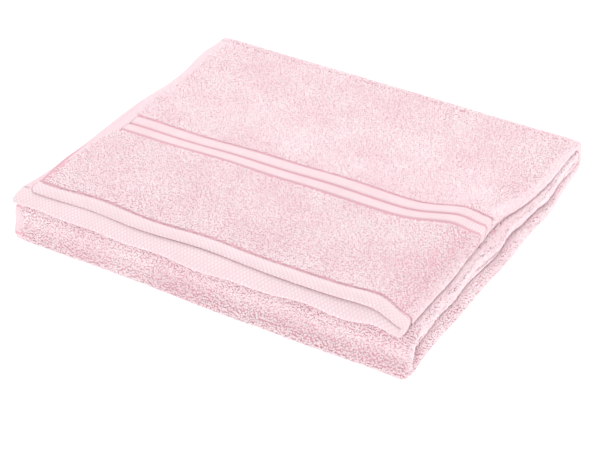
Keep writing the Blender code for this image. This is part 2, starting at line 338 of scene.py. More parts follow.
# Each run's own shape: how far right its side fold ends beside the plain fold, how boxy the fold's outer and
# inner half are (2 is round, and boxy halves hide the groove), and how far in the two selvedges lie.
runColumns = ("right", "outerCorner", "innerCorner", "outerInset", "innerInset")
runShapes = {
    "flap": (-0.0005, 2.0, 8.0, 0.0045, 0.0012),
    "upperWrap": (0.0015, 2.2, 3.0, 0.0010, 0.0018),
    "lowerWrap": (0.0020, 2.2, 5.0, 0.0002, 0.0015),
    "bottom": (0.0058, 3.4, 3.4, -0.0040, -0.0036),
    "frontWrap": (0.0050, 2.2, 3.0, -0.0062, -0.0050),
    "third": (0.0042, 6.0, 2.3, 0.0022, 0.0008),
    "innerBend": (0.0010, 5.0, 5.0, 0.0030, 0.0022),
    "fourth": (0.0010, 8.0, 8.0, 0.0012, 0.0026),
    "tuckBend": (0.0005, 5.0, 5.0, 0.0022, 0.0030),
    "tucked": (0.0008, 8.0, 8.0, 0.0030, 0.0014),
}


def alongRuns(column, t):
    # one value for each run, held in its middle and eased from run to run
    knots, held = [], []
    for name, values in runShapes.items():
        start, end = spans[name]
        knots += [start + 0.25 * (end - start), start + 0.75 * (end - start)]
        held += [values[runColumns.index(column)]] * 2
    return np.interp(t, knots, held)


def flapShare(t):
    return fade(t, 1, spans["flap"][1] - sides["flapEase"], sides["flapEase"])


def swell(y, z):
    # at the side folds the bottom panel's fold swells up and the third panel's down, over the tucked ones;
    # heights are counted in layers, and the knots move down where the stack has settled
    pitch = pitchAt(y)
    layers = (z - base) / pitch
    settled = smooth((y - tuckedEndY) / winding["settle"])
    wave = unrest(y, y * 0, *settling["swellWave"])
    knots = (0, 2, 4, 6 - 2 * settled, 8 - 2 * settled)
    moved = (0, *(count - less * settled + wave for count, less in swollen), knots[4])
    result = layers
    for k in range(4):
        share = (layers - knots[k]) / np.maximum(knots[k + 1] - knots[k], 1e-6)
        inside = (layers >= knots[k]) & (layers < knots[k + 1])
        result = np.where(inside, moved[k] + share * (moved[k + 1] - moved[k]), result)
    return base + result * pitch


def foldSection(s, t, h, onFlap, flapY):
    # the doubled cloth across the stack: two leaves and the side fold between them
    yIn, zIn, yOut, zOut = (np.interp(t, pathT, column) for column in pathTable)
    depth = np.hypot(yOut - yIn, zOut - zIn)
    turn = np.clip((s - leafLength) / foldLength, 0, 1)
    angle = np.pi * (0.5 - turn)
    corner = np.where(angle > 0, alongRuns("outerCorner", t), alongRuns("innerCorner", t))
    boxed = (np.abs(np.sin(angle)) ** corner + np.abs(np.cos(angle)) ** corner) ** (1 / corner)
    side = np.sin(angle) / boxed  # 1 on the outer leaf, -1 on the inner one
    edge = foldX + alongRuns("right", t) + unrest(t, t * 0, *sides["edgeUnrest"])
    edge = edge - onFlap * hump(flapY, *sides["flapTuck"])
    pulled = hump(flapY, *sides["borderPull"]) + hump(flapY, *sides["hemPull"])
    pulled = pulled - ramp(flapY, *sides["backSlack"])
    leftOuter = leftX + alongRuns("outerInset", t) + onFlap * pulled + unrest(t, t * 0, *sides["outerUnrest"])
    leftInner = leftX + alongRuns("innerInset", t) + unrest(t, t * 0, *sides["innerUnrest"])
    leftInner = leftInner - onFlap * fade(flapY - frontY, *sides["lowerOut"])
    leafShare = np.clip(np.where(s < leafLength, s, across - s) / leafLength, -sides["pastSelvedge"], 1)
    left = np.where(turn < 0.5, leftOuter, leftInner)
    x = left + leafShare * (edge - left)
    x = np.where((turn > 0) & (turn < 1), edge + h * np.cos(angle) / boxed, x)
    share = 0.5 + side * h / depth
    y = yIn + (yOut - yIn) * share
    z = zIn + (zOut - zIn) * share
    return x, y, z, zIn, (side + 1) / 2


def fillFront(x, y, z, onFlap):
    # the front is fuller than the plain bend: it sags forward and sits down on the floor
    fore, down = np.clip((frontBendY - y) / frontReach, 0, 2), np.clip(1 - z / frontMiddle, 0, 1)
    plain, square = winding["squareness"], frontShape["square"]
    fuller = (fore ** plain + down ** plain + 1e-9) ** (1 / plain)
    fuller = fuller / (fore ** square + down ** square + 1e-9) ** (1 / square)
    sag = frontShape["sag"] * (1 + ramp(x, *frontShape["sagRight"]))
    sag = sag * smooth(frontShape["sagFrom"] * down * fuller)
    sagged = frontBendY - frontReach * fore * fuller * (1 + sag)
    inFront = (fore > 0) & (down > 0) & (onFlap < 0.5)
    return np.where(inFront, sagged, y), np.where(inFront, frontMiddle * (1 - down * fuller), z)


def layHems(x, y, z, upper, onFlap, fromFront):
    # the upper hem lies further back and rests on the lower one, which hangs over the front
    slant = hang["slant"] * (x - hang["slantFrom"]) + hang["slantShift"]
    slant = slant + unrest(x, x * 0, *hang["upperUnrest"])
    reach = hang["reach"] + hump(x, *hang["belly"]) + unrest(x, x * 0, *hang["lowerUnrest"])
    reach = (1 - upper) * reach * fade(fromFront, *hang["reachEnds"])
    y = y + onFlap * fade(fromFront, *hang["near"]) * (upper * slant - reach)
    over = np.clip(1 - fromFront / hang["droopFrom"], 0, 2) * onFlap * (1 - ramp(x, *hang["droopRight"]))
    droop = hang["droop"] * over ** hang["droopCurve"] * (1 + unrest(x, x * 0, *hang["droopUnrest"]))
    resting = np.clip(1 + (hemStep - fromFront) / hang["restLength"], 0, 1) * onFlap
    rest = hang["rest"] * resting ** 2 * (1 + unrest(x, x * 0, *hang["restUnrest"]))
    return y, z - (1 - upper) * droop - upper * rest


def borderBow(x):
    height, start, length = bow["curl"]
    curled = height * np.clip((x - start) / length, 0, bow["curlMost"]) ** 2
    return bow["back"] * (1 + unrest(x, x * 0, *bow["unrest"])) + curled


def settle(x, y, z):
    # what the whole stack does, the same for neighbouring layers
    tall = np.clip(z / topZ, 0, 1.1)
    puff = hump(x, *settling["puff"]) * fade(y, *settling["puffEnds"])
    puff = puff * (settling["puffShare"] + unrest(y, y * 0, *settling["puffUnrest"]))
    drop = ramp(-x, *settling["leftDrop"])
    swelling = ramp(x, *settling["swellSide"]) * ramp(y - frontBendY, *settling["swellBehind"])
    z = z + (swell(y, z) - z) * swelling
    z = z - tall * ramp(x, *settling["curl"]) * (1 - ramp(y, *settling["curlEnds"]))
    z = z + tall ** 3 * ramp(x, *settling["corner"]) * ramp(y, *settling["cornerBack"])
    inside = np.clip((y - frontY) / settling["frontEase"], 0, 1)
    inside = inside * np.clip((backY - y) / settling["backEase"], 0, 1)
    z = z + tall ** 3 * (puff - drop) + tall ** 2 * inside * unrest(x, y, *settling["topUnrest"])
    halfway = tall * (1 - tall)
    y = y + halfway * unrest(x, z / 2, *settling["frontUnrest"]) * fade(y - frontY, *settling["frontEnds"])
    x = x + halfway * unrest(y, z / 2, *settling["rightUnrest"]) * ramp(x, *settling["rightStarts"])
    return x, y, np.maximum(z, settling["floor"])


def clothPoint(s, t, h):
    s, t, h = np.broadcast_arrays(np.asarray(s, float), np.asarray(t, float), np.asarray(h, float))
    onFlap = flapShare(t)
    flapY = frontY - winding["lead"] + t  # true on the flap only
    x, y, z, zIn, upper = foldSection(s, t, h, onFlap, flapY)
    y, z = fillFront(x, y, z, onFlap)
    z = z - (z - zIn) * ramp(x, *sides["pinch"]) * onFlap
    y, z = layHems(x, y, z, upper, onFlap, flapY - frontY)
    y = y + onFlap * upper * borderBow(x) * hump(flapY, *bow["over"])
    return np.stack(settle(x, y, z), axis=-1)


def halfDepth(t):
    yIn, zIn, yOut, zOut = (np.interp(t, pathT, column) for column in pathTable)
    return np.hypot(yOut - yIn, zOut - zIn) / 2 - gap / 2


def flapEdge(s):
    # where the cloth starts on the path: the upper leaf's hem lies a step behind the lower one's
    turn = np.clip((np.asarray(s, float) - leafLength) / foldLength, 0, 1)
    return winding["lead"] + hemStep * (np.sin(np.pi * (0.5 - turn)) + 1) / 2


# Materials, each from what the real cloth is.

cotton = {"ior": 1.53, "specular": 0.15, "soak": 0.15, "soakColour": (1.0, 0.75, 0.8), "soakDepth": 0.0016,
          "sheenRoughness": 0.5}


def startMaterial(name, look, colour):
    # cotton: cellulose's index, hardly any gloss, and light soaks about a millimetre in
    material = bpy.data.materials.new(name)
    material.use_nodes = True
    tree = material.node_tree
    shader = tree.nodes["Principled BSDF"]
    for socket, value in (("Base Color", toLinear(colour)), ("Roughness", look["roughness"]),
                          ("IOR", cotton["ior"]), ("Specular IOR Level", cotton["specular"]),
                          ("Subsurface Weight", cotton["soak"]), ("Subsurface Radius", cotton["soakColour"]),
                          ("Subsurface Scale", cotton["soakDepth"]), ("Sheen Weight", look["sheen"]),
                          ("Sheen Tint", toLinear(colour)), ("Sheen Roughness", cotton["sheenRoughness"])):
        shader.inputs[socket].default_value = value
    return material, tree, shader


pileLook = {"light": "F6E6E9", "deep": "F2D5DC", "mottle": 0.045, "tuft": 0.0022, "spread": (0.75, 1.25),
            "roughness": 0.95, "sheen": 0.10}


def makePileMaterial():
    # ring-spun cotton loops, dyed in the yarn: matt, a little lighter where loops lie over
    material, tree, shader = startMaterial("cottonTerryLoops", pileLook, pileLook["light"])
    shader.inputs["Subsurface Weight"].default_value = 0.0  # loops finer than the light soaks in
    place = addNode(tree, "ShaderNodeAttribute", attribute_name="clothPlace").outputs["Vector"]
    wide = addNode(tree, "ShaderNodeTexNoise", [("Vector", place), ("Scale", 1 / pileLook["mottle"]),
                                                ("Detail", 3.0)])
    fine = addNode(tree, "ShaderNodeTexNoise", [("Vector", place), ("Scale", 1 / pileLook["tuft"]),
                                                ("Detail", 1.0)])
    both = addNode(tree, "ShaderNodeMath", [(0, wide.outputs["Fac"]), (1, fine.outputs["Fac"])],
                   operation="ADD")
    spread = addNode(tree, "ShaderNodeMapRange", [("Value", both.outputs["Value"]),
                                                  ("From Min", pileLook["spread"][0]),
                                                  ("From Max", pileLook["spread"][1])])
    colour = addNode(tree, "ShaderNodeMix", [("Factor", spread.outputs["Result"]),
                                             ("A", toLinear(pileLook["deep"])),
                                             ("B", toLinear(pileLook["light"]))], data_type="RGBA")
    tree.links.new(colour.outputs["Result"], shader.inputs["Base Color"])
    return material


threadRound = 0.0003  # how deep the bumps between threads are


def waveScale(spacing):
    # a wave texture repeats 20 times in 2 pi
    return 2 * math.pi / spacing / 20


# real ground threads lie 0.6 mm apart; drawn twice as coarse, so that they show
# the ground cloth is real; its colours, darker and pinker than the loops', are painted shade between the loops
groundAndShadeLook = {"thread": "F0C6CF", "gapColour": "E4B0BB", "spacing": 0.0012, "relief": 0.5, "roughness": 0.95,
              "sheen": 0.1}


def makeGroundMaterial():
    # the plain-woven ground that carries the loops, seen only between them; its darker pink is painted shade
    # there
    material, tree, shader = startMaterial("cottonGroundWeaveAndShade", groundAndShadeLook, groundAndShadeLook["thread"])
    place = addNode(tree, "ShaderNodeAttribute", attribute_name="clothPlace").outputs["Vector"]
    scale = waveScale(groundAndShadeLook["spacing"])
    warp = addNode(tree, "ShaderNodeTexWave", [("Vector", place), ("Scale", scale)], bands_direction="X")
    weft = addNode(tree, "ShaderNodeTexWave", [("Vector", place), ("Scale", scale)], bands_direction="Y")
    weave = addNode(tree, "ShaderNodeMath", [(0, warp.outputs["Fac"]), (1, weft.outputs["Fac"])],
                    operation="MULTIPLY")
    colour = addNode(tree, "ShaderNodeMix", [("Factor", weave.outputs["Value"]),
                                             ("A", toLinear(groundAndShadeLook["gapColour"])),
                                             ("B", toLinear(groundAndShadeLook["thread"]))], data_type="RGBA")
    bump = addNode(tree, "ShaderNodeBump", [("Height", weave.outputs["Value"]),
                                            ("Strength", groundAndShadeLook["relief"]), ("Distance", threadRound)])
    tree.links.new(colour.outputs["Result"], shader.inputs["Base Color"])
    tree.links.new(bump.outputs["Normal"], shader.inputs["Normal"])
    return material


weaveLook = {"crossScale": 0.8, "mottle": 1 / 55, "full": 0.45}


def makeWeaveMaterial(name, look):
    # flat-woven cotton: threads run in waves along the turned direction, closed by fine noise
    material, tree, shader = startMaterial(name, look, look["thread"])
    place = addNode(tree, "ShaderNodeAttribute", attribute_name="clothPlace").outputs["Vector"]
    turned = addNode(tree, "ShaderNodeMapping", [("Vector", place),
                                                 ("Rotation", (0, 0, math.radians(look["turn"])))])
    scale = waveScale(look["spacing"])
    ribs = addNode(tree, "ShaderNodeTexWave", [("Vector", turned.outputs["Vector"]), ("Scale", scale),
                                               ("Distortion", look["unrest"])], bands_direction="X")
    dots = addNode(tree, "ShaderNodeTexWave", [("Vector", turned.outputs["Vector"]),
                                               ("Scale", scale * weaveLook["crossScale"]),
                                               ("Distortion", look["unrest"])], bands_direction="Y")
    weave = addNode(tree, "ShaderNodeMath", [(0, ribs.outputs["Fac"]), (1, dots.outputs["Fac"])],
                    operation="MULTIPLY")
    mottle = addNode(tree, "ShaderNodeTexNoise", [("Vector", place), ("Scale", 1 / weaveLook["mottle"]),
                                                  ("Detail", 3.0)])
    factor = addNode(tree, "ShaderNodeMath", [(0, weave.outputs["Value"]), (1, mottle.outputs["Fac"])],
                     operation="MULTIPLY", use_clamp=True)
    lifted = addNode(tree, "ShaderNodeMapRange", [("Value", factor.outputs["Value"]),
                                                  ("From Max", weaveLook["full"])])
    colour = addNode(tree, "ShaderNodeMix", [("Factor", lifted.outputs["Result"]),
                                             ("A", toLinear(look["gapColour"])),
                                             ("B", toLinear(look["thread"]))], data_type="RGBA")
    bump = addNode(tree, "ShaderNodeBump", [("Height", weave.outputs["Value"]), ("Strength", look["relief"]),
                                            ("Distance", threadRound)])
    shown = colour.outputs["Result"]
    if "deep" in look:
        # the bottoms of the grooves are darker: partly their own flatter weave, partly painted shade of the
        # recess
        height = addNode(tree, "ShaderNodeSeparateXYZ", [("Vector", place)]).outputs["Z"]
        lit = addNode(tree, "ShaderNodeMapRange", [("Value", height), ("From Min", look["deepAt"][0]),
                                                   ("From Max", look["deepAt"][1])])
        shown = addNode(tree, "ShaderNodeMix", [("Factor", lit.outputs["Result"]),
                                                ("A", toLinear(look["deep"])), ("B", shown)],
                        data_type="RGBA").outputs["Result"]
    tree.links.new(shown, shader.inputs["Base Color"])
    tree.links.new(bump.outputs["Normal"], shader.inputs["Normal"])
    return material


# The threads are drawn two to four times as coarse as the real 0.6 mm, so that they show.
hemLook = {"thread": "F0E1E4", "gapColour": "E8CFD4", "spacing": 0.0022, "turn": 45, "unrest": 0.3,
           "relief": 0.5, "roughness": 0.85, "sheen": 0.15}
# the ribs' deep colour darkens the grooves by height: partly their own weave, partly painted shade between the
# ribs
ribLook = {"thread": "F4E5E8", "gapColour": "E6CBD1", "spacing": 0.0018, "turn": 0, "unrest": 0.4,
           "relief": 0.9, "roughness": 0.80, "sheen": 0.15, "deep": "E2B4BE", "deepAt": (0.0036, 0.0045)}
selvedgeLook = {"thread": "F0DADF", "gapColour": "E9CBD2", "spacing": 0.0018, "turn": 0, "unrest": 0.6,
                "relief": 0.4, "roughness": 0.85, "sheen": 0.15}
threadLook = {"thread": "EED8DC", "gapColour": "DDB9C1", "spacing": 0.0010, "turn": 30, "unrest": 0.0,
              "relief": 0.5, "roughness": 0.55, "sheen": 0.05}
pileCotton = makePileMaterial()
groundCottonAndShade = makeGroundMaterial()
hemCotton = makeWeaveMaterial("cottonHerringboneHem", hemLook)  # twill turned twice: pale, finely dotted
ribCotton = makeWeaveMaterial("cottonDobbyRibs", ribLook)  # close weft ribs: the smoothest, palest part
selvedgeCotton = makeWeaveMaterial("cottonSelvedge", selvedgeLook)  # side hem: fine cross ribs
sewingThread = makeWeaveMaterial("spunSewingThread", threadLook)  # two-ply lockstitch thread, faint lustre
print("materials ready")


# Helpers that make a mesh from places on the cloth.

def showMesh(name, mesh, material):
    mesh.materials.append(material)
    mesh.shade_smooth()
    piece = bpy.data.objects.new(name, mesh)
    scene.collection.objects.link(piece)
    return piece


def markPlaces(mesh, places):
    attribute = mesh.attributes.new("clothPlace", "FLOAT_VECTOR", "POINT")
    attribute.data.foreach_set("vector", places.astype(np.float32).ravel())


def clothGrid(name, columns, rows, placeOf, material, ring=False):
    # a grid of that many faces laid on the cloth; placeOf turns its two shares into s, t and h
    shape = bmesh.new()
    bmesh.ops.create_grid(shape, x_segments=columns, y_segments=rows, size=0.5)
    shares = np.array([vert.co for vert in shape.verts])[:, :2] + 0.5
    s, t, h = np.broadcast_arrays(*placeOf(shares[:, 0], shares[:, 1]))
    layer = shape.verts.layers.float_vector.new("clothPlace")
    for vert, point, place in zip(shape.verts, clothPoint(s, t, h), np.stack([s, t, h], axis=-1)):
        vert.co = point
        vert[layer] = place
    if ring:
        bmesh.ops.remove_doubles(shape, verts=shape.verts, dist=1e-6)
        rims = [edge for edge in shape.edges if edge.is_boundary]
        bmesh.ops.holes_fill(shape, edges=rims, sides=0)
        bmesh.ops.triangulate(shape, faces=[face for face in shape.faces if len(face.verts) > 4])
        bmesh.ops.recalc_face_normals(shape, faces=shape.faces)
    mesh = bpy.data.meshes.new(name)
    shape.to_mesh(mesh)
    shape.free()
    return showMesh(name, mesh, material)


# The ground cloth of each stretch.

ground = {
    "thickness": 0.0012,
    "pile": 0.0013,  # left above it for the loops
    "flat": 0.0021,  # its height under hems and borders
    "ease": 0.0015,
    "grain": 0.0040,
    "fineGrain": 0.0019,
    "selvedge": 0.0020,
    "underHem": 0.0030,
}


def flatZones(s, t):
    # 1 where the cloth is flat-woven: end hems and borders
    edge = flapEdge(s)
    zones = []
    for start, end in ((edge, edge + endHemWidth), (edge + borderSetback, edge + borderSetback + borderWidth),
                       (pathEnd - endHemWidth, pathEnd),
                       (pathEnd - borderSetback - borderWidth, pathEnd - borderSetback)):
        zones.append(smooth((t - start) / ground["ease"]) * smooth((end - t) / ground["ease"]))
    return np.max(zones, axis=0)


def groundHeight(s, t):
    terry = halfDepth(t) - ground["pile"]
    return terry + (ground["flat"] - terry) * flatZones(s, t)


def makeGround(name, run):
    start, end = spans[run]
    hemInset = endHemWidth - ground["underHem"]
    end = end - (hemInset if run == "tucked" else 0)

    def placeOf(a, b):
        s = ground["selvedge"] + a * (across - 2 * ground["selvedge"])
        first = flapEdge(s) + hemInset if run == "flap" else start
        t = first + b * (end - first)
        return s, t, groundHeight(s, t)

    # the flap's rows are finer, to follow the steps beside its border
    rows = max(8, round((end - start) / ground["fineGrain" if run == "flap" else "grain"]))
    piece = clothGrid(name, round(across / ground["grain"]), rows, placeOf, groundCottonAndShade)
    wall = piece.modifiers.new("thickness", "SOLIDIFY")
    wall.thickness = ground["thickness"]
    wall.offset = -1
    wall.use_even_offset = False
    return piece


# Loops of the pile, thousands of them, each a small closed tuft.

tuft = {
    "spacing": 0.00182,
    "wideSpacing": 0.00260,  # where it is hardly seen
    "rowShare": 0.866,  # rows lie closer than the loops in them
    "jitter": 0.16,  # of the spacing
    "foot": 0.75,
    "shoulder": (1.15, 0.6),  # how wide, and how high up
    "long": 0.00108,
    "wide": 0.00074,
    "height": 0.0015,
    "inwardHeight": 0.0036,
    "sizes": (0.85, 1.2),
    "heights": (0.75, 1.12),
    "sink": 0.0003,
    "lean": 0.5,
    "leans": (0.3, 1.3),
    "combed": (0.8, 0.02, 31),  # unrest: how neighbours lean the same way
    "bend": 1.5,
    "softness": 0.42,
    "probe": 0.0005,  # how far off the cloth is looked at for its directions
    "margin": 0.002,  # round the baked map
    "floor": 0.00003,
    "most": 14000,  # in one piece
}


def makeTuft():
    # a four-sided cone frustum with a raised crown, one unit high
    shape = bmesh.new()
    width, height = tuft["shoulder"]
    bmesh.ops.create_cone(shape, cap_ends=True, segments=4, radius1=tuft["foot"], radius2=width, depth=height)
    bmesh.ops.translate(shape, verts=shape.verts, vec=(0, 0, height / 2))
    crown = max(shape.faces, key=lambda face: face.calc_center_median().z)
    middle = bmesh.ops.poke(shape, faces=[crown])["verts"][0]
    middle.co.z = 1.0
    bmesh.ops.triangulate(shape, faces=shape.faces)
    bmesh.ops.recalc_face_normals(shape, faces=shape.faces)
    shape.verts.index_update()
    points = np.array([vert.co for vert in shape.verts])
    faces = np.array([[vert.index for vert in face.verts] for face in shape.faces])
    shape.free()
    return points, faces


tuftPoints, tuftFaces = makeTuft()
pileEdge = sideHemWidth - 0.0055  # the loops thin out over this much of the side hem


def scatter(sRange, tRange, spacing, seed, closer):
    # jittered places in staggered rows; tRange may depend on s
    # closer tightens the two ways where the cloth stretches
    draw = np.random.default_rng(seed)
    row = spacing * tuft["rowShare"] * closer[1]
    spacing = spacing * closer[0]
    tLow = np.min(tRange(np.array(sRange))[0])
    tHigh = np.max(tRange(np.array(sRange))[1])
    columns = np.arange(math.floor(sRange[0] / spacing) - 1, math.ceil(sRange[1] / spacing) + 1)
    i, j = np.meshgrid(columns, np.arange(math.floor(tLow / row), math.ceil(tHigh / row) + 1))
    s = (i + 0.25 + 0.5 * (j % 2)) * spacing + draw.normal(0, tuft["jitter"], i.shape) * spacing
    t = j * row + draw.normal(0, tuft["jitter"], i.shape) * spacing
    first, last = tRange(s)
    fromSelvedge = np.minimum(s, across - s)
    thinned = draw.random(s.shape) < smooth((fromSelvedge - pileEdge) / (sideHemWidth - pileEdge))
    kept = (t > first) & (t < last) & (s > sRange[0]) & (s < sRange[1]) & thinned
    return s[kept], t[kept]


def makePile(name, sRange, tRange, spacing, seed, closer=(1, 1), inward=False):
    # in as many pieces as keep each one light
    s, t = scatter(sRange, tRange, spacing, seed, closer)
    parts = math.ceil(len(s) / tuft["most"])
    order = np.argsort(t, kind="stable")
    pieces = []
    for number, chosen in enumerate(np.array_split(order, parts)):
        label = name if parts == 1 else f"{name}{number + 1}"
        pieces.append(layTufts(label, s[chosen], t[chosen], spacing, seed + 1 + number, inward))
    return pieces


def layTufts(name, s, t, spacing, seed, inward):
    draw = np.random.default_rng(seed)
    h = groundHeight(s, t) - tuft["sink"]
    if inward:
        h = h - ground["thickness"] + 2 * tuft["sink"]
    delta = -tuft["probe"] if inward else tuft["probe"]
    root = clothPoint(s, t, h)
    sideways = clothPoint(s + delta, t, h) - clothPoint(s - delta, t, h)
    forward = clothPoint(s, t + delta, h) - clothPoint(s, t - delta, h)
    if inward:
        sideways, forward = -sideways, -forward
    sideways /= np.linalg.norm(sideways, axis=1, keepdims=True)
    upward = np.cross(sideways, forward)
    upward /= np.linalg.norm(upward, axis=1, keepdims=True)
    away = clothPoint(s, t, h + delta) - root
    upward *= np.sign(np.sum(upward * away, axis=1, keepdims=True))
    forward = np.cross(upward, sideways)
    spin = draw.uniform(0, 2 * np.pi, len(s))
    grown = spacing / tuft["spacing"] * draw.uniform(*tuft["sizes"], len(s))[:, None]
    tall = (tuft["inwardHeight"] if inward else tuft["height"]) * draw.uniform(*tuft["heights"], len(s))
    leanTurn = draw.uniform(0, 2 * np.pi, len(s)) + unrest(s, t, *tuft["combed"])
    lean = tuft["lean"] * tall * draw.uniform(*tuft["leans"], len(s))
    px, py, pz = tuftPoints.T
    px, py = px * tuft["long"] * grown, py * tuft["wide"] * grown
    cx = np.cos(spin)[:, None] * px - np.sin(spin)[:, None] * py
    cy = np.sin(spin)[:, None] * px + np.cos(spin)[:, None] * py
    bent = pz[None, :] ** tuft["bend"]
    cx = cx + (lean * np.cos(leanTurn))[:, None] * bent
    cy = cy + (lean * np.sin(leanTurn))[:, None] * bent
    cz = pz[None, :] * tall[:, None]
    points = (root[:, None, :] + cx[:, :, None] * sideways[:, None, :] + cy[:, :, None] * forward[:, None, :]
              + cz[:, :, None] * upward[:, None, :])
    points[..., 2] = np.maximum(points[..., 2], tuft["floor"])  # pressed flat on it
    count = len(s)
    faces = (tuftFaces[None] + (np.arange(count) * len(tuftPoints))[:, None, None]).reshape(-1, 3)
    mesh = bpy.data.meshes.new(name)
    mesh.from_pydata(points.reshape(-1, 3), [], faces)
    places = np.stack([s, t, h], axis=-1)[:, None, :].repeat(len(tuftPoints), axis=1).reshape(-1, 3)
    # its own place on the cloth is also its place on a baked map
    u = ((s[:, None] + cx) - s.min() + tuft["margin"]) / (np.ptp(s) + 2 * tuft["margin"])
    v = ((t[:, None] + cy) - t.min() + tuft["margin"]) / (np.ptp(t) + 2 * tuft["margin"])
    flat = np.clip(np.stack([u, v], axis=-1), 0, 1).reshape(-1, 2)
    layer = mesh.uv_layers.new(name="OFBake")
    layer.data.foreach_set("uv", flat[faces.ravel()].astype(np.float32).ravel())
    markPlaces(mesh, places)
    piece = showMesh(name, mesh, pileCotton)
    # fine yarn has no hard sides: the light is carried over from loop to loop
    own = np.array([vert.normal for vert in mesh.vertices])
    shared = upward[:, None, :].repeat(len(tuftPoints), axis=1).reshape(-1, 3)
    mesh.normals_split_custom_set_from_vertices(tuft["softness"] * shared + (1 - tuft["softness"]) * own)
    print(name, count, "tufts,", len(faces), "triangles")
    return piece


foldEdge = 0.003  # the fold's loops reach this far onto the leaves
outerPile = (pileEdge, leafLength - foldEdge)
innerPile = (leafLength + foldLength + foldEdge, across - pileEdge)
foldPile = (leafLength - foldEdge, leafLength + foldLength + foldEdge)
foldCloser = (0.66, 1.0)
frontCloser = (1, 0.70)


def between(first, last):
    return lambda s: (first + 0 * s, last + 0 * s)


flapGaps = {"hem": 0.0004, "border": 0.0004, "inside": 0.012}


def makeFlapPile():
    def front(s):
        edge = flapEdge(s)
        return edge + endHemWidth + flapGaps["hem"], edge + borderSetback - flapGaps["border"]

    def main(s):
        edge = flapEdge(s)
        return edge + borderSetback + borderWidth + 2 * flapGaps["border"], spans["flap"][1] + 0 * s

    def inside(s):
        # loops on the lower leaf's inner face close the gap behind its hem
        return flapEdge(s) + endHemWidth, flapEdge(s) + endHemWidth + flapGaps["inside"]

    return (makePile("flapFrontPile", outerPile, front, tuft["spacing"], 41)
            + makePile("flapMainPile", outerPile, main, tuft["spacing"], 43)
            + makePile("flapUnderFrontPile", innerPile, front, tuft["wideSpacing"], 45)
            + makePile("flapUnderMainPile", innerPile, main, tuft["wideSpacing"], 47)
            + makePile("flapFoldFrontPile", foldPile, front, tuft["spacing"], 48, foldCloser)
            + makePile("flapFoldMainPile", foldPile, main, tuft["spacing"], 49, foldCloser)
            + makePile("flapInsidePile", innerPile, inside, tuft["spacing"], 50, inward=True))


# Hems: cloth turned twice, a flat tube with a round edge.

hem = {
    "thickness": 0.0032,
    "fullness": 0.0009,
    "corner": 3.6,  # how square its section is
    "endRound": 0.0045,
    "endThin": 0.75,  # of its thickness, gone at the very end
    "inset": 0.0002,
    "topShare": 0.6,  # the twill shows above this share of the thickness
    "twill": 0.00016,
    "twillLength": 0.0042,
    "twillShare": 0.55,
    "ringSteps": 28,
    "grain": 0.0012,
}


def ringOf(share, width, thickness, corner):
    # a closed flat section: along and up, from -1 to 1 of its half sizes
    angle = 2 * np.pi * share
    along = np.sign(np.cos(angle)) * np.abs(np.cos(angle)) ** (2 / corner)
    up = np.sign(np.sin(angle)) * np.abs(np.sin(angle)) ** (2 / corner)
    return width / 2 * (1 + along), thickness / 2 * (1 + up)


def herringbone(s, v):
    # a zigzag of twill ridges, as deep as hem["twill"]
    length = hem["twillLength"]
    zigzag = np.abs((v / (endHemWidth / 3)) % 2 - 1) * length
    return hem["twill"] * np.sin(2 * np.pi * (s + zigzag) / (length * hem["twillShare"]))


def makeEndHem(name, edgeOf, toward):
    def placeOf(a, b):
        s = hem["inset"] + a * (across - 2 * hem["inset"])
        along, up = ringOf(b, endHemWidth, hem["thickness"], hem["corner"])
        bulge = hem["fullness"] * np.sin(np.pi * along / endHemWidth)
        # both ends are rounded in their outline and in their thickness
        short = 1 - np.clip(np.minimum(s, across - s) / hem["endRound"], 0, 1)
        cut = hem["endRound"] * (1 - np.sqrt(1 - short ** 2))
        thin = 1 - hem["endThin"] * short ** 4
        h = gap / 2 + (up - hem["thickness"] / 2) * thin + hem["thickness"] / 2
        onTop = up > hem["thickness"] * hem["topShare"]
        h = h + np.where(onTop, bulge + herringbone(s, along), 0) * thin
        return s, edgeOf(s) + toward * np.maximum(along, cut), h

    return clothGrid(name, round(across / hem["grain"]), hem["ringSteps"], placeOf, hemCotton, ring=True)


border = {
    "ribs": (0.0095, 0.0110),
    "ribHeight": 0.0049,
    "grooveHeight": 0.0033,
    "round": 0.0020,
    "bottom": 0.0012,
    "inset": 0.0010,  # beside the side hems
    "grain": 0.0025,
    "rows": 64,
    "topRows": 0.8,  # the share of the rows that its face takes
}


def ribProfile(v):
    # height over the border's width: two ribs between three grooves
    groove = (borderWidth - sum(border["ribs"])) / 3
    height = np.full_like(v, border["grooveHeight"])
    start = groove
    for width in border["ribs"]:
        inside = np.minimum(v - start, start + width - v)
        edge = np.clip(inside / border["round"], 0, 1)
        lift = np.sqrt(edge * (2 - edge))
        height = height + (border["ribHeight"] - border["grooveHeight"]) * lift
        start += width + groove
    return height


def makeBorder(name, startOf):
    def placeOf(a, b):
        inset, onTop = sideHemWidth + border["inset"], border["topRows"]
        s = inset + a * (across - 2 * inset)
        v = borderWidth * np.where(b <= onTop, b / onTop, (1 - b) / (1 - onTop))
        closed = (b == 0) | (b >= onTop)
        h = np.where(closed, border["bottom"], ribProfile(v))
        return s, startOf(s) + v, h

    return clothGrid(name, round(across / border["grain"]), border["rows"], placeOf, ribCotton, ring=True)


sideHem = {"thickness": 0.0038, "grain": 0.0030, "ringSteps": 16, "corner": 2.8}


def makeSideHem(name, run, endAt=0.0):
    # one along each selvedge
    pieces = []
    start, end = spans[run]
    for leaf in ("Outer", "Inner"):
        def placeOf(a, b):
            along, up = ringOf(b, sideHemWidth, sideHem["thickness"], sideHem["corner"])
            s = along if leaf == "Outer" else across - along
            first = flapEdge(s) + endHemWidth if run == "flap" else start
            last = end - endAt
            return s, first + a * (last - first), gap / 2 + up

        rows = max(6, round((end - start) / sideHem["grain"]))
        pieces.append(clothGrid(name + leaf, rows, sideHem["ringSteps"], placeOf, selvedgeCotton, ring=True))
    return pieces


stitch = {"length": 0.0026, "every": 0.0034, "radius": 0.00022, "inset": 0.0020, "first": 0.006,
          "above": 0.0003}


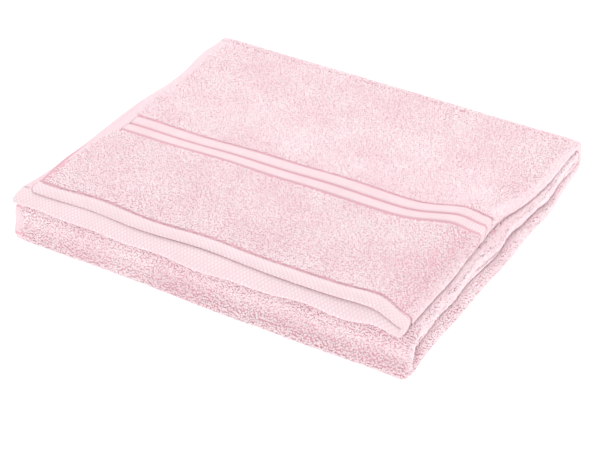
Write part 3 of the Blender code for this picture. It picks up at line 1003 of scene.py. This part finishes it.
def makeStitches(name, tOf, hOf):
    # lockstitches sunk at both ends, a short six-sided rod each
    shape = bmesh.new()
    places = []
    count = int((across - 2 * stitch["first"]) / stitch["every"])
    for number in range(count):
        s = stitch["first"] + number * stitch["every"]
        ends = np.array([s - stitch["length"] / 2, s + stitch["length"] / 2])
        a, b = clothPoint(ends, tOf(ends), hOf(ends))
        middle = clothPoint(s, tOf(np.array(s)), hOf(np.array(s)) + stitch["radius"])
        made = bmesh.ops.create_cone(shape, cap_ends=True, segments=6, radius1=stitch["radius"],
                                     radius2=stitch["radius"], depth=float(np.linalg.norm(b - a)))["verts"]
        turn = Vector(b - a).to_track_quat("Z", "Y").to_matrix()
        bmesh.ops.rotate(shape, verts=made, matrix=turn, cent=(0, 0, 0))
        bmesh.ops.translate(shape, verts=made, vec=Vector(middle))
        places += [(s, float(tOf(np.array(s))), 0.0)] * len(made)
    mesh = bpy.data.meshes.new(name)
    shape.to_mesh(mesh)
    shape.free()
    markPlaces(mesh, np.array(places))
    return showMesh(name, mesh, sewingThread)


def rideAll(pieces, body):
    for piece in pieces:
        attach(piece, body)


# The flap on top, with everything sewn or woven into it.

flapGround = makeGround("flapGround", "flap")
flapPile = makeFlapPile()
flapEndHem = makeEndHem("flapEndHem", flapEdge, 1)
flapBorder = makeBorder("flapBorder", lambda s: flapEdge(s) + borderSetback)
flapSideHems = makeSideHem("flapSideHem", "flap")


def hemTop(s):
    return gap / 2 + hem["thickness"] + stitch["above"] + 0 * np.asarray(s, float)


flapStitches = makeStitches("flapHemStitches", lambda s: flapEdge(s) + endHemWidth - stitch["inset"], hemTop)
rideAll([flapGround, *flapPile], "flap")
rideAll([flapEndHem, flapBorder, *flapSideHems], "flap")
rideAll([flapStitches], "flap")
leaves = ("upper", "lower", "side_fold")
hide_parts(*(f"flap_{zone}_terry_{leaf}" for zone in ("front", "main") for leaf in leaves))
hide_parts(*(f"flap_end_hem_{leaf}" for leaf in leaves))
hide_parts(*(f"flap_border_{leaf}" for leaf in leaves))
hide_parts("flap_side_hem_upper")
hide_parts("flap_side_hem_lower")
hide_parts("flap_hem_stitching_upper", "flap_hem_stitching_lower")
print("flap ready")


# The back wrap in two halves: the upper one bends over the flap's fold, the lower one over the spine's.

leafMiddle = 0.17  # across the towel, halfway over the outer leaf
wrapMiddle = clothPoint(leafMiddle, spans["upperWrap"][1], 0.0)
wrapTop = clothPoint(leafMiddle, spans["upperWrap"][0], 0.0)
wrapFoot = clothPoint(leafMiddle, spans["lowerWrap"][1], 0.0)


def makeWrap(run):
    cloth = makeGround(run + "Ground", run)
    pile = makePile(run + "Pile", outerPile, between(*spans[run]), tuft["spacing"], 51)
    under = makePile(run + "InnerPile", innerPile, between(*spans[run]), tuft["wideSpacing"], 53)
    under += makePile(run + "FoldPile", foldPile, between(*spans[run]), tuft["spacing"], 55, foldCloser)
    hems = makeSideHem(run + "SideHem", run)
    for piece in (cloth, *pile, *under, *hems):
        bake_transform(piece)
    return cloth, hems


upperCloth, upperHems = makeWrap("upperWrap")
lowerCloth, lowerHems = makeWrap("lowerWrap")
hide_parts("spine_outer_leaf", "spine_inner_leaf", "spine_side_fold")
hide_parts("spine_outer_side_hem")
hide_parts("spine_inner_side_hem")
print("back wrap ready")


# The stack underneath: each stretch has its ground, its side hems and pile where it can be seen.

stretches = {
    "bottom": {"prefix": "bottom_panel", "leaves": ("lower", "upper"), "spacing": tuft["wideSpacing"],
               "seed": 61, "rests": []},
    "frontWrap": {"prefix": "front_wrap", "leaves": ("outer", "inner"), "spacing": tuft["spacing"], "seed": 63,
                  "closer": frontCloser, "rests": ["bottomGround"]},
    "third": {"prefix": "third_panel", "leaves": ("upper", "lower"), "spacing": tuft["wideSpacing"], "seed": 65,
              "rests": ["tuckedGround"]},
    "innerBend": {"prefix": "inner_back_bend", "leaves": ("outer", "inner"), "spacing": tuft["wideSpacing"],
                  "seed": 67, "rests": ["bottomGround"]},
    "fourth": {"prefix": "fourth_panel", "leaves": ("lower", "upper"), "rests": ["bottomGround"]},
    "tuckBend": {"prefix": "tucked_border", "leaves": ("outer", "inner"), "rests": ["bottomGround"]},
    "tucked": {"prefix": "tucked_panel", "leaves": ("upper", "lower"), "rests": ["fourthGround"]},
}


def makeStretch(run, look):
    start, end = spans[run]
    cloth = makeGround(run + "Ground", run)
    hidden = "seed" not in look  # inside the stack: wide loops on the fold, none on the leaves
    foldSpacing, foldTight = (tuft["wideSpacing"], (1, 1)) if hidden else (tuft["spacing"], foldCloser)
    pile = makePile(run + "FoldPile", foldPile, between(start, end), foldSpacing, 71, foldTight)
    if not hidden:
        pile += makePile(run + "Pile", outerPile, between(start, end), look["spacing"], look["seed"],
                         look.get("closer", (1, 1)))
    hems = makeSideHem(run + "SideHem", run, endAt=endHemWidth if run == "tucked" else 0.0)
    rideAll([cloth, *pile], "stack")
    rideAll(hems, "stack")
    prefix, (outer, inner) = look["prefix"], look["leaves"]
    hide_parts(f"{prefix}_{outer}_leaf", f"{prefix}_{inner}_leaf", f"{prefix}_side_fold")
    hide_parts(f"{prefix}_{outer}_side_hem")
    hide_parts(f"{prefix}_{inner}_side_hem")
    print(run, "ready")


for run, look in stretches.items():
    makeStretch(run, look)
tuckedHem = makeEndHem("tuckedEndHem", lambda s: pathEnd + 0 * s, -1)
rideAll([tuckedHem], "stack")
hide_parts(*(f"tucked_end_hem_{leaf}" for leaf in leaves))
